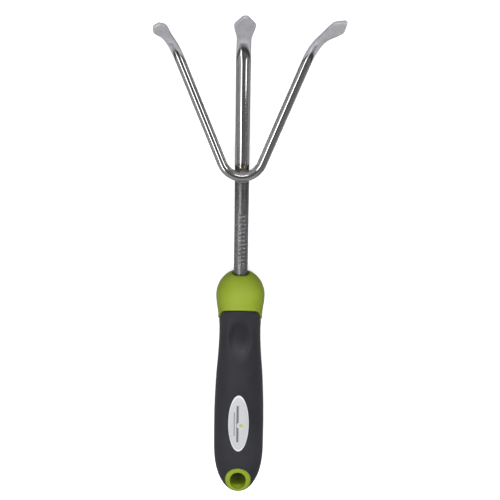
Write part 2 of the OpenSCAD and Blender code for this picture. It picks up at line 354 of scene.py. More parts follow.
def select_faces(piece, wanted):
    """Selects the faces for which wanted(centre) is true, and goes into edit mode."""
    bpy.ops.object.mode_set(mode="EDIT")
    bpy.ops.mesh.select_mode(type="FACE")
    bpy.ops.mesh.select_all(action="DESELECT")
    bpy.ops.object.mode_set(mode="OBJECT")
    for polygon in piece.data.polygons:
        polygon.select = wanted(polygon.center)
    bpy.ops.object.mode_set(mode="EDIT")


def add_bar_ring(name, place, rotation, radius, sides):
    """Starts a bar: one circle primitive at its place, in edit mode with all of it selected."""
    deselect_everything()
    bpy.ops.mesh.primitive_circle_add(
        vertices=sides, radius=radius, location=place, rotation=rotation)
    piece = bpy.context.object
    piece.name = name
    piece.data.name = name
    bpy.ops.object.transform_apply(location=True, rotation=True, scale=True)
    bpy.ops.object.mode_set(mode="EDIT")
    bpy.ops.mesh.select_mode(type="VERT")
    bpy.ops.mesh.select_all(action="SELECT")
    return piece


def draw_out(step, count=1):
    """Extrudes the selected ring straight on, count times."""
    for _ in range(count):
        bpy.ops.mesh.extrude_region_move(TRANSFORM_OT_translate={"value": tuple(step)})


def spin_ring(steps, angle, centre, axis):
    """Spins the selected ring round an axis. The operator turns the other way for a plus angle."""
    bpy.ops.mesh.spin(steps=steps, angle=-angle, center=tuple(centre), axis=tuple(axis))


def finish_mesh(piece, subdivide=0, smooth_angle=35.0):
    """Merges doubles, turns the normals outwards, and finishes with modifiers and shading."""
    make_active(piece)
    bpy.ops.object.mode_set(mode="EDIT")
    bpy.ops.mesh.select_all(action="SELECT")
    bpy.ops.mesh.remove_doubles(threshold=0.002 * MM)
    bpy.ops.mesh.normals_make_consistent(inside=False)
    bpy.ops.object.mode_set(mode="OBJECT")
    if subdivide:
        smoother = piece.modifiers.new("Smooth", "SUBSURF")
        smoother.levels = subdivide
        smoother.render_levels = subdivide
        bpy.ops.object.modifier_apply(modifier=smoother.name)
    bpy.ops.object.shade_smooth_by_angle(angle=math.radians(smooth_angle))


def add_sheet(name, rows, around, place):
    """A grid primitive rolled into a closed skin: place(row, angle) gives each point."""
    deselect_everything()
    bpy.ops.mesh.primitive_grid_add(
        x_subdivisions=around, y_subdivisions=len(rows) - 1, size=1.0)
    piece = bpy.context.object
    piece.name = name
    piece.data.name = name
    for vertex in piece.data.vertices:
        angle = 2 * math.pi * (vertex.co.x + 0.5)
        row = rows[round((vertex.co.y + 0.5) * (len(rows) - 1))]
        vertex.co = place(row, angle)
    return piece


def cut_away(piece, cutter):
    """Cuts the cutter out of the piece with a Boolean modifier, and removes the cutter."""
    make_active(piece)
    cut = piece.modifiers.new("Cut", "BOOLEAN")
    cut.operation = "DIFFERENCE"
    cut.solver = "EXACT"
    cut.object = cutter
    bpy.ops.object.modifier_apply(modifier=cut.name)
    bpy.data.objects.remove(cutter)


def join_into(piece, other):
    """Joins another closed part into the piece."""
    make_active(piece)
    other.select_set(True)
    bpy.ops.object.join()


def hand_over(piece, node, material):
    """Gives the finished piece its material, its body and the node it replaces."""
    deselect_everything()
    piece.data.materials.clear()
    piece.data.materials.append(material)
    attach(piece, "root")
    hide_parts(node)


# --- Tines ---

BEND_STEPS = 18
BLADE_STEPS = 22

# Squareness of a section: a round bar, and what its flattened root and its blade add to that.
ROUND = 2
ROOT_SQUARER = 0.8
BLADE_SQUARER = 1.7

# A blade's root: its width in bar radii, and how much thicker it is than the blade.
ROOT_WIDTH = 1.9
ROOT_THICKER = 0.8 * MM

# A blade's end: how much it thins from its shoulders on, and over which part it rounds off.
POINT_THINNING = 0.4
END_PART = 0.045
END_ROUNDING = 0.75

# The stamped ticks: width as a part of their pitch, depth, edge, and where they start and stop
# around the neck, in degrees from the badge side.
TICK_PART = 0.3
TICK_DEPTH = 0.32 * MM
TICK_EDGE = 0.1 * MM
TICK_TURN = (-12, 34)


def ease(u):
    """A smooth step from 0 to 1."""
    return u * u * (3 - 2 * u)


def round_x(angle, n):
    """The x of a rounded rectangle's outline: n = 2 is an ellipse, and a larger n is squarer."""
    return math.copysign(abs(math.cos(angle)) ** (2 / n), math.cos(angle))


def round_y(angle, n):
    """The y of the same outline."""
    return math.copysign(abs(math.sin(angle)) ** (2 / n), math.sin(angle))


def tine_frame(head, start, arm, lean, turn, beyond):
    """Place, sideways, thickness and forward directions along a tine's bend and blade."""
    along = Vector((math.sin(arm), math.cos(arm), 0))
    across = Vector((math.cos(arm), -math.sin(arm), 0))
    up = Vector((0, 0, math.cos(lean))) + across * math.sin(lean)
    forward = along * math.cos(turn) + up * math.sin(turn)
    place = start + (along * math.sin(turn) + up * (1 - math.cos(turn))) * head.bend_r
    side = across * math.cos(lean) - Vector((0, 0, math.sin(lean)))
    thick = up * math.cos(turn) - along * math.sin(turn)
    return place + forward * beyond, side, thick, forward


def twisted(frame_here, twist):
    """Turns a ring's sideways and thickness directions about its forward direction."""
    place, side, thick, forward = frame_here
    turned_side = side * math.cos(twist) + thick * math.sin(twist)
    turned_thick = thick * math.cos(twist) - side * math.sin(twist)
    return place, turned_side, turned_thick, forward


def widening(head, blade, past):
    """How far a blade has widened at a distance past its bend's end, from 0 to 1."""
    reach = blade.shoulder * blade.length + head.widen_lead
    return ease(max(0.0, min(1.0, (past + head.widen_lead) / reach)))


def blade_section(head, blade, neck_w, neck_t, u):
    """Width, thickness and squareness of a blade at the part u of its length."""
    flatten = ease(min(1.0, u / blade.shoulder))
    opening = neck_w + (blade.width - neck_w) * widening(head, blade, u * blade.length)
    closing = blade.width + (blade.point - blade.width) * (u - blade.shoulder) / (1 - blade.shoulder)
    soft = blade.round * 0.5
    width = -soft * math.log(math.exp(-opening / soft) + math.exp(-closing / soft))
    thinning = 1 - POINT_THINNING * max(0.0, u - blade.shoulder)
    thickness = (neck_t + (head.blade_t - neck_t) * flatten) * thinning
    end = min(1.0, (1.0 - u) / END_PART)
    rounding = math.sqrt(1 - (1 - end) ** 2 * END_ROUNDING)
    squareness = ROUND + ROOT_SQUARER + BLADE_SQUARER * flatten
    return width * rounding, thickness * rounding, squareness


def ring_vertices(piece, place, forward):
    """The vertices of the round bar that lie square across it at a place."""
    flat = 0.01 * MM
    near = 5 * MM
    return [vertex for vertex in piece.data.vertices
            if abs((vertex.co - place).dot(forward)) < flat and (vertex.co - place).length < near]


def forge_ring(vertices, frame_here, section, skew):
    """Presses a ring of vertices to its section: width, thickness and squareness."""
    place, side, thick, forward = frame_here
    width, thickness, squareness = section
    for vertex in vertices:
        offset = vertex.co - place
        angle = math.atan2(offset.dot(thick), offset.dot(side))
        x = width / 2 * round_x(angle, squareness)
        z = thickness / 2 * round_y(angle, squareness)
        vertex.co = place + (side + forward * skew) * x + thick * z


def draw_tine_end(piece, head, start, arm, hand, bar_r, blade):
    """Spins the selected ring round the tine's bend, draws the blade out and forges it flat.

    The hand is 1 for a tine that leans to the right and -1 for its mirror image.
    """
    lean = hand * blade.lean
    twist = hand * blade.twist
    skew = -hand * blade.set_forward
    up, along = tine_frame(head, start, arm, lean, 0, 0)[2:]
    centre = start + up * head.bend_r
    spin_ring(BEND_STEPS, head.bend_angle, centre, along.cross(up))
    forward = tine_frame(head, start, arm, lean, head.bend_angle, 0)[3]
    draw_out(forward * blade.length / BLADE_STEPS, BLADE_STEPS)
    bpy.ops.mesh.edge_face_add()
    bpy.ops.mesh.select_all(action="DESELECT")
    bpy.ops.object.mode_set(mode="OBJECT")
    neck_w = ROOT_WIDTH * bar_r
    neck_t = head.blade_t + ROOT_THICKER
    bend_l = head.bend_angle * head.bend_r
    work = []
    for k in range(1, BEND_STEPS + 1):
        u = k / BEND_STEPS
        e = ease(u)
        wide = widening(head, blade, (u - 1) * bend_l)
        section = (2 * bar_r + (neck_w - 2 * bar_r) * e + (blade.width - neck_w) * wide,
                   2 * bar_r + (neck_t - 2 * bar_r) * e, ROUND + ROOT_SQUARER * e)
        here = tine_frame(head, start, arm, lean, head.bend_angle * u, 0)
        work.append((here, twisted(here, twist * wide), section, 0.0))
    for k in range(1, BLADE_STEPS + 1):
        u = k / BLADE_STEPS
        wide = widening(head, blade, u * blade.length)
        here = tine_frame(head, start, arm, lean, head.bend_angle, blade.length * u)
        work.append((here, twisted(here, twist * wide), blade_section(head, blade, neck_w, neck_t, u),
                     skew * ease(min(1.0, u / blade.shoulder))))
    rings = [ring_vertices(piece, step[0][0], step[0][3]) for step in work]
    for vertices, (_, turned, section, set_off) in zip(rings, work):
        forge_ring(vertices, turned, section, set_off)


def press_tang(piece, head):
    """Presses the tang's two flats."""
    flat_end = head.tang_y + head.tang_flat_l
    for vertex in piece.data.vertices:
        if vertex.co.y < flat_end:
            vertex.co.z = max(-head.tang_flat / 2, min(head.tang_flat / 2, vertex.co.z))


def stamp_ticks(piece, head):
    """Presses a row of plain ticks into the front of the neck."""
    tick_w = TICK_PART * head.tick_pitch

    def in_tick(centre):
        place = (centre.y - head.tick_y) / head.tick_pitch
        inside = 0 < place < head.tick_count and (place % 1.0) * head.tick_pitch < tick_w
        turn = math.degrees(math.atan2(centre.x, centre.z))
        return inside and TICK_TURN[0] < turn < TICK_TURN[1]

    bpy.ops.object.mode_set(mode="EDIT")
    bpy.ops.mesh.select_all(action="SELECT")
    bpy.ops.mesh.normals_make_consistent(inside=False)
    select_faces(piece, in_tick)
    bpy.ops.mesh.inset(thickness=TICK_EDGE, depth=-TICK_DEPTH, use_even_offset=True)
    bpy.ops.object.mode_set(mode="OBJECT")


def build_center_tine(head, material):
    """The main bar: tang, neck with its ticks, middle tine and blade."""
    chamfer = 0.6 * MM
    run_out = 0.4 * MM
    start = Vector((0, head.tang_y, 0))
    piece = add_bar_ring("center_tine_bar", start, (-math.pi / 2, 0, 0), head.bar_r, 48)
    bpy.ops.mesh.edge_face_add()
    bpy.ops.mesh.inset(thickness=chamfer)
    bpy.ops.transform.translate(value=(0, -0.5 * MM, 0))
    select_vertices(piece, lambda p: p.x ** 2 + p.z ** 2 > (0.95 * head.bar_r) ** 2)
    tick_w = TICK_PART * head.tick_pitch
    draw_out((0, head.tang_flat_l, 0))
    draw_out((0, run_out, 0))
    draw_out((0, (head.tick_y - head.tang_y - head.tang_flat_l - run_out) / 4, 0), 4)
    for _ in range(head.tick_count):
        draw_out((0, tick_w, 0))
        draw_out((0, head.tick_pitch - tick_w, 0))
    reached = head.tick_y + head.tick_count * head.tick_pitch
    draw_out((0, (head.mid_bend_y - reached) / 12, 0), 12)
    bend = Vector((0, head.mid_bend_y, 0))
    draw_tine_end(piece, head, bend, 0.0, 1, head.bar_r, head.middle)
    press_tang(piece, head)
    stamp_ticks(piece, head)
    finish_mesh(piece, subdivide=1)
    hand_over(piece, "center_tine", material)


def build_outer_tines(head, material):
    """The V: one rod from blade to blade, drawn both ways from the bottom of the V."""
    rod_z = OUTER_LOW.z + head.rod_r
    bottom = Vector((0, head.vee_y, rod_z))
    centre = bottom + Vector((0, head.vee_r, 0))
    piece = add_bar_ring("outer_tines_rod", bottom, (0, math.pi / 2, 0), head.rod_r, 40)
    turn = math.pi / 2 - head.arm_angle
    for side, blade in ((1, head.right), (-1, head.left)):
        if side < 0:
            select_vertices(piece, lambda p: abs(p.x) < 0.01 * MM)
        spin_ring(14, side * turn, centre, (0, 0, 1))
        arm = side * head.arm_angle
        along = Vector((math.sin(arm), math.cos(arm), 0))
        leave = centre + Vector((math.cos(arm), -math.sin(arm), 0)) * side * head.vee_r
        arm_l = (head.side_bend_y - leave.y) / math.cos(arm)
        draw_out(along * arm_l / 10, 10)
        draw_tine_end(piece, head, leave + along * arm_l, arm, side, head.rod_r, blade)
    finish_mesh(piece, subdivide=1)
    hand_over(piece, "outer_tines", material)


def build_weld_beads(head, material):
    """Two rippled beads in the corners between the V and the bar."""
    beads = []
    ripples = 7
    half_l = 3.4 * MM
    for side in (1, -1):
        place = Vector((0, head.vee_y + side * (head.rod_r - 0.25 * MM), head.bar_r + 0.35 * MM))
        bead_r = (1.5 if side > 0 else 1.75) * MM

        def bead_point(row, angle, place=place):
            taper = math.sqrt(max(0.0, 1 - row ** 4))
            ripple = 1 + 0.07 * math.cos(math.pi * ripples * row + 0.6 * math.sin(angle))
            radius = bead_r * taper * ripple
            sag = -0.45 * MM * row ** 2
            return place + Vector((row * half_l, radius * math.cos(angle),
                                   sag + radius * math.sin(angle)))

        rows = [-math.cos(math.pi * k / 48) for k in range(49)]
        bead = add_sheet("weld_bead_part", rows, 28, bead_point)
        beads.append(bead)
    join_into(beads[0], beads[1])
    piece = beads[0]
    piece.name = "weld_bead_pair"
    piece.data.name = "weld_bead_pair"
    finish_mesh(piece, smooth_angle=80.0)
    hand_over(piece, "weld_beads", material)


# --- Handle surface ---

QUARTER = math.pi / 2
SQUARENESS = 2.2
NOSE_POWER = 2.4

# Half of the seam between the grip and the collar, and the parts of the prongs' length that the
# low arch and the prongs themselves take.
GROOVE = 0.2 * MM
ARCH_PART = 0.34
PRONG_PART = 0.66
PRONG_POWER = 9

# The part of the thumb hollow's radius over which it slopes, how closely rows stand at the butt,
# and what the cutters leave or overlap.
HOLLOW_SLOPE = 0.5
BUTT_ROWS = 0.08
CUT_THROUGH = 40 * MM
EYE_GAP = 0.12 * MM
EYE_OVERLAP = 0.5 * MM
BADGE_GAP = 0.1 * MM
BADGE_CUT = 3 * MM


def station_value(column, y):
    """The handle's width, height or depth at a place, on a smooth curve through the stations."""
    table = GRIP_STATIONS
    y = y / MM
    i = 0
    while i < len(table) - 2 and y >= table[i + 1][0]:
        i += 1

    def slope(k):
        a = max(k - 1, 0)
        b = min(k + 1, len(table) - 1)
        return (table[b][column] - table[a][column]) / (table[b][0] - table[a][0])

    h = table[i + 1][0] - table[i][0]
    u = (y - table[i][0]) / h
    value = (2 * u ** 3 - 3 * u ** 2 + 1) * table[i][column]
    value += (u ** 3 - 2 * u ** 2 + u) * h * slope(i)
    value += (3 * u ** 2 - 2 * u ** 3) * table[i + 1][column]
    value += (u ** 3 - u ** 2) * h * slope(i + 1)
    return value * MM


def nose(handle, y, inset, length):
    """How much of its full size the butt has at a place."""
    u = max(0.0, 1 - (y - handle.butt_y - inset) / length)
    return math.sqrt(max(0.0, 1 - u ** NOSE_POWER))


def crown(handle, y):
    """How much of its full size the domed collar has at a place."""
    if y < handle.collar_y:
        return 1.0
    return math.sqrt(max(0.0, 1 - ((y - handle.collar_y) / handle.crown_l) ** 2))


def half_width(handle, y, inset):
    """Half of the handle's width at a place, moved in by the inset."""
    size = station_value(HALF_WIDTH, y) - inset
    return size * nose(handle, y, inset, handle.nose_l) * crown(handle, y)


def half_height(handle, y, inset, side):
    """Height over the bar's axis, or depth under it, at a place."""
    size = station_value(side, y) - inset
    return size * nose(handle, y, inset, handle.butt_round) * crown(handle, y)


def thumb_dip(handle, x, y):
    """The oval thumb hollow, which is steepest at its rim."""
    away = math.hypot(x / handle.thumb_r, (y - handle.thumb_y) / handle.thumb_l)
    return handle.thumb_depth * ease(max(0.0, min(1.0, (1 - away) / HOLLOW_SLOPE)))


def handle_point(handle, y, angle, inset):
    """A point of the handle's outer surface, moved in by the inset."""
    side = TOP if math.sin(angle) > 0 else BOTTOM
    x = half_width(handle, y, inset) * round_x(angle, SQUARENESS)
    z = half_height(handle, y, inset, side) * round_y(angle, SQUARENESS)
    if z > 0:
        z -= thumb_dip(handle, x, y)
    return Vector((x, y, z))


def surface_z(handle, x, y, side):
    """Height of the badge side, or depth of the back, at a place."""
    part = min(1.0, abs(x) / max(half_width(handle, y, 0.0), 0.01 * MM))
    return half_height(handle, y, 0.0, side) * (1 - part ** SQUARENESS) ** (1 / SQUARENESS)


def edge_y(handle, angle):
    """The grip's upper edge: a low arch in front and behind, and a prong at each side."""
    sideways = abs(math.cos(angle))
    arch = ARCH_PART * sideways ** 2
    return handle.arch_y - handle.prong_l * (arch + PRONG_PART * sideways ** PRONG_POWER)


def from_butt(u):
    """Row spacing that is close at the butt's pole and even further on."""
    return (1 + BUTT_ROWS) * u * u / (u + BUTT_ROWS)


def oval_cutter(handle, grow, depth):
    """An oval prism through the eye, a little larger or smaller than the ring."""
    deselect_everything()
    bpy.ops.mesh.primitive_cylinder_add(
        vertices=96, radius=1.0, depth=2.0, location=(0, -handle.eye_shift, 0))
    cutter = bpy.context.object
    wide = handle.hole_r + handle.eye_wall + grow
    cutter.scale = (wide, wide + handle.eye_stretch, depth)
    bpy.ops.object.transform_apply(location=True, rotation=True, scale=True)
    return cutter


def build_grip_sleeve(handle, badge, material):
    """The soft grip: a shell with a rolled upper edge, the eye's opening and the badge's seat."""
    rows = [("outer", k / 150) for k in range(151)]
    rows += [("lip", k / 6) for k in range(1, 7)]
    rows += [("wall", k / 2) for k in range(1, 3)]
    rows += [("inner", 1 - k / 40) for k in range(1, 41)]
    butt = handle.butt_y
    lip = handle.lip_r

    def sleeve_point(row, angle):
        kind, u = row
        edge = edge_y(handle, angle) - GROOVE
        if kind == "outer":
            return handle_point(handle, butt + (edge - lip - butt) * from_butt(u), angle, 0.0)
        if kind == "lip":
            turn = QUARTER * u
            y = edge - lip + lip * math.sin(turn)
            return handle_point(handle, y, angle, lip * (1 - math.cos(turn)))
        if kind == "wall":
            inset = lip + (handle.sleeve_t - lip) * u
            return handle_point(handle, edge, angle, inset)
        low = butt + handle.sleeve_t
        return handle_point(handle, low + (edge - low) * from_butt(u), angle, handle.sleeve_t)

    piece = add_sheet("soft_grip", rows, 128, sleeve_point)
    finish_mesh(piece)
    cut_away(piece, oval_cutter(handle, EYE_GAP, CUT_THROUGH))
    cut_away(piece, badge_blank(handle, badge, BADGE_GAP, BADGE_CUT))
    finish_mesh(piece, smooth_angle=40.0)
    hand_over(piece, "grip_sleeve", material)


def build_handle_core(handle, head, material):
    """The green core: hidden spine, prongs, domed collar with its recess, and the eye's ring."""
    rim_part = 6.2 / 14.3
    neck_y = handle.collar_y + handle.crown_l * math.sqrt(1 - rim_part ** 2)
    recess_r = head.bar_r + 0.8 * MM
    socket_r = head.bar_r + 0.02 * MM
    recess_y = neck_y - 1.4 * MM
    soft = 0.45 * MM
    rim_rise = 0.12 * MM
    edge_swell = 0.43 * MM
    swell_size = 0.45 * MM
    swell_l = 0.9 * MM
    lip = handle.lip_r
    butt = handle.butt_y + handle.sleeve_t
    rows = [("spine", k / 40) for k in range(41)]
    rows += [("step", k / 2) for k in range(1, 3)]
    rows += [("lip", k / 7) for k in range(1, 8)]
    rows += [("collar", k / 64) for k in range(1, 65)]
    rows += [("crown", k / 4) for k in range(1, 5)]
    rows += [("turn", k / 6) for k in range(1, 7)]
    rows += [("recess", k / 3) for k in range(1, 4)]
    rows += [("floor", k / 2) for k in range(1, 3)]
    rows += [("socket", k / 4) for k in range(1, 5)]
    rows += [("end", 1.0)]

    def core_point(row, angle):
        kind, u = row
        edge = edge_y(handle, angle) + GROOVE
        circle = Vector((math.cos(angle), 0, math.sin(angle)))
        if kind == "spine":
            return handle_point(handle, butt + (edge - butt) * from_butt(u), angle, handle.sleeve_t)
        if kind == "step":
            inset = handle.sleeve_t + (lip - handle.sleeve_t) * u
            return handle_point(handle, edge, angle, inset)
        if kind == "lip":
            turn = QUARTER * u
            y = edge + lip * (1 - math.cos(turn))
            return handle_point(handle, y, angle, lip * (1 - math.sin(turn)) - edge_swell * u)
        if kind == "collar":
            low = edge + lip
            y = low + (neck_y - low) * math.sin(QUARTER * u)
            swell = swell_size * math.exp(-((y - low - 0.2 * MM) / swell_l) ** 2)
            return handle_point(handle, y, angle, -swell)
        if kind == "crown":
            rim = handle_point(handle, neck_y, angle, 0.0)
            inner = circle * (recess_r + soft) + Vector((0, neck_y + rim_rise, 0))
            return rim.lerp(inner, u)
        if kind == "turn":
            turn = QUARTER * u
            radius = recess_r + soft * (1 - math.sin(turn))
            drop = soft * (1 - math.cos(turn))
            return circle * radius + Vector((0, neck_y + rim_rise - drop, 0))
        if kind == "recess":
            top = neck_y + rim_rise - soft
            return circle * recess_r + Vector((0, top + (recess_y - top) * u, 0))
        if kind == "floor":
            return circle * (recess_r + (socket_r - recess_r) * u) + Vector((0, recess_y, 0))
        if kind == "socket":
            return circle * socket_r + Vector((0, recess_y + (head.tang_y - recess_y) * u, 0))
        return Vector((0, head.tang_y, 0))

    piece = add_sheet("green_core", rows, 128, core_point)
    finish_mesh(piece)
    cut_away(piece, oval_cutter(handle, -EYE_OVERLAP, CUT_THROUGH))
    join_into(piece, build_eye_ring(handle))
    finish_mesh(piece, smooth_angle=40.0)
    hand_over(piece, "handle_core", material)


def build_eye_ring(handle):
    """The ring around the hanging hole, with rounded lips on both faces of the handle."""
    proud = 0.45 * MM
    soft = 0.9 * MM
    wall = handle.eye_wall
    stretch = handle.eye_stretch
    rows = [("bore", -1 + k / 6) for k in range(13)]
    rows += [("top", k / 16) for k in range(1, 17)]
    rows += [("outer", 1 - k / 3) for k in range(1, 7)]
    rows += [("bottom", k / 16) for k in range(1, 17)]

    def lip_height(part):
        """The lip's rise over the handle, from the bore's edge to the outer edge."""
        across = part * wall
        inner = max(0.0, 1 - across / soft)
        outer = max(0.0, 1 - (wall - across) / soft)
        return proud - soft * (1 - math.sqrt(max(0.0, 1 - inner ** 2))) \
            - soft * (1 - math.sqrt(max(0.0, 1 - outer ** 2)))

    def face_point(part, angle, side):
        across = handle.hole_r + part * wall
        x = across * math.cos(angle)
        oval = 1 if side == TOP else part
        y = (across + stretch * oval) * math.sin(angle) - handle.eye_shift * oval
        z = surface_z(handle, x, y, side) + lip_height(part)
        return Vector((x, y, z if side == TOP else -z))

    def eye_point(row, angle):
        kind, u = row
        if kind in ("top", "bottom"):
            part = 0.5 - 0.5 * math.cos(math.pi * u)
            if kind == "top":
                return face_point(part, angle, TOP)
            return face_point(1 - part, angle, BOTTOM)
        part = 0.0 if kind == "bore" else 1.0
        high = face_point(part, angle, TOP)
        low = face_point(part, angle, BOTTOM)
        point = low.lerp(high, (u + 1) / 2)
        if kind == "bore":
            lead_in = ease(max(0.0, u) ** 2)
            point.y = (handle.hole_r + stretch * lead_in) * math.sin(angle)
            point.y -= handle.eye_shift * lead_in
        return point

    ring = add_sheet("eye_ring_part", rows, 96, eye_point)
    finish_mesh(ring, smooth_angle=60.0)
    return ring


# --- Badge ---

def badge_point(handle, badge, part, angle, grow, rise):
    """A point of the badge, at a part of its size and a height over the grip."""
    x = part * (badge.half_width + grow) * math.cos(angle)
    y = part * (badge.half_length + grow) * math.sin(angle)
    z = surface_z(handle, x, badge.middle_y + y, TOP) + rise
    return Vector((x, badge.middle_y + y, z))


def badge_blank(handle, badge, grow, height):
    """The badge's plain outline as a solid, which cuts its seat into the grip."""
    parts = [k / 10 for k in range(11)]
    rows = [(part, height) for part in parts] + [(part, -badge.seat) for part in reversed(parts)]
    blank = add_sheet("badge_seat_part", rows, 96, lambda row, angle: badge_point(
        handle, badge, row[0], angle, grow, row[1]))
    finish_mesh(blank)
    return blank


def build_badge(handle, badge, material):
    """An oval plate that follows the grip, with a rounded rim and a slightly sunken field."""
    field = 0.12 * MM
    rim_part = 1 - badge.rim / badge.half_width
    rows = [(rim_part * k / 14, badge.rise - field) for k in range(14)]
    rows += [(rim_part + (1 - rim_part) * 0.12, badge.rise - 0.6 * field)]
    for k in range(9):
        turn = math.pi * k / 8
        part = 1 - (1 - rim_part) * 0.4 * (1 + math.cos(turn))
        rows.append((part, badge.rise - field * 1.1 * (1 - math.sin(turn))))
    rows += [(1.0, badge.rise - 2 * field), (1.0, -badge.seat + 0.05 * MM)]
    rows += [(1 - k / 10, -badge.seat + 0.02 * MM) for k in range(1, 11)]
    piece = add_sheet("oval_badge", rows, 96, lambda row, angle: badge_point(
        handle, badge, row[0], angle, 0.0, row[1]))
    finish_mesh(piece, smooth_angle=50.0)
    hand_over(piece, "badge", material)


# --- Materials ---

class Nodes:
    """A small helper that adds nodes to one material and links them."""

    def __init__(self, name):
        self.material = bpy.data.materials.new(name)
        self.material.use_nodes = True
        self.tree = self.material.node_tree
        self.shader = self.tree.nodes["Principled BSDF"]

    def add(self, kind, inputs=None, **settings):
        node = self.tree.nodes.new(kind)
        for name, value in settings.items():
            setattr(node, name, value)
        for key, value in (inputs or {}).items():
            self.feed(node.inputs[key], value)
        return node

    def feed(self, socket, value):
        if isinstance(value, bpy.types.NodeSocket):
            self.tree.links.new(value, socket)
        else:
            socket.default_value = value

    def place(self, scale=(1, 1, 1), location=(0, 0, 0)):
        """Object coordinates, moved and scaled."""
        source = self.add("ShaderNodeTexCoord").outputs["Object"]
        mapping = self.add("ShaderNodeMapping", {"Vector": source, "Scale": scale,
                                                 "Location": location})
        return mapping.outputs["Vector"]

    def noise(self, vector, scale, detail=3.0, roughness=0.5):
        node = self.add("ShaderNodeTexNoise", {"Vector": vector, "Scale": scale, "Detail": detail,
                                               "Roughness": roughness})
        return node.outputs["Fac"]

    def remap(self, value, low, high, to_low=0.0, to_high=1.0, smooth=True):
        node = self.add("ShaderNodeMapRange", {"Value": value, "From Min": low, "From Max": high,
                                               "To Min": to_low, "To Max": to_high})
        if smooth:
            node.interpolation_type = "SMOOTHSTEP"
        return node.outputs["Result"]

    def math(self, operation, first, second=0.0):
        node = self.add("ShaderNodeMath", {0: first, 1: second}, operation=operation)
        return node.outputs["Value"]

    def mix_colour(self, factor, first, second, blend="MIX"):
        node = self.add("ShaderNodeMix", {"Factor": factor}, data_type="RGBA", blend_type=blend)
        self.feed(node.inputs[6], first)
        self.feed(node.inputs[7], second)
        return node.outputs[2]

    def bump(self, height, strength, distance, normal=None):
        node = self.add("ShaderNodeBump", {"Height": height, "Strength": strength,
                                           "Distance": distance})
        if normal is not None:
            self.feed(node.inputs["Normal"], normal)
        return node.outputs["Normal"]


def rgba(colour, shade=1.0):
    """A colour with its alpha, made darker or lighter by the shade."""
    return (shade * colour[0], shade * colour[1], shade * colour[2], 1.0)


# Painted shade for the corners between the V and the bar.
CORNER_SHADE_BLACK = (0.03, 0.028, 0.026, 1.0)
# Painted dark reflection for the band where the bars' highlights end at the bends.
PAINTED_ARCH_GREY = (0.1, 0.1, 0.11, 1.0)
STRAW_WELD = (0.30, 0.29, 0.28, 1.0)
BRIGHT_WELD = (0.62, 0.61, 0.6, 1.0)
RUBBER_DUST = (0.07, 0.07, 0.075, 1.0)
BADGE_RIM = (0.86, 0.86, 0.87, 1.0)
DOT_GREEN = (0.42, 0.5, 0.12, 1.0)
WHITE = (1.0, 1.0, 1.0, 1.0)


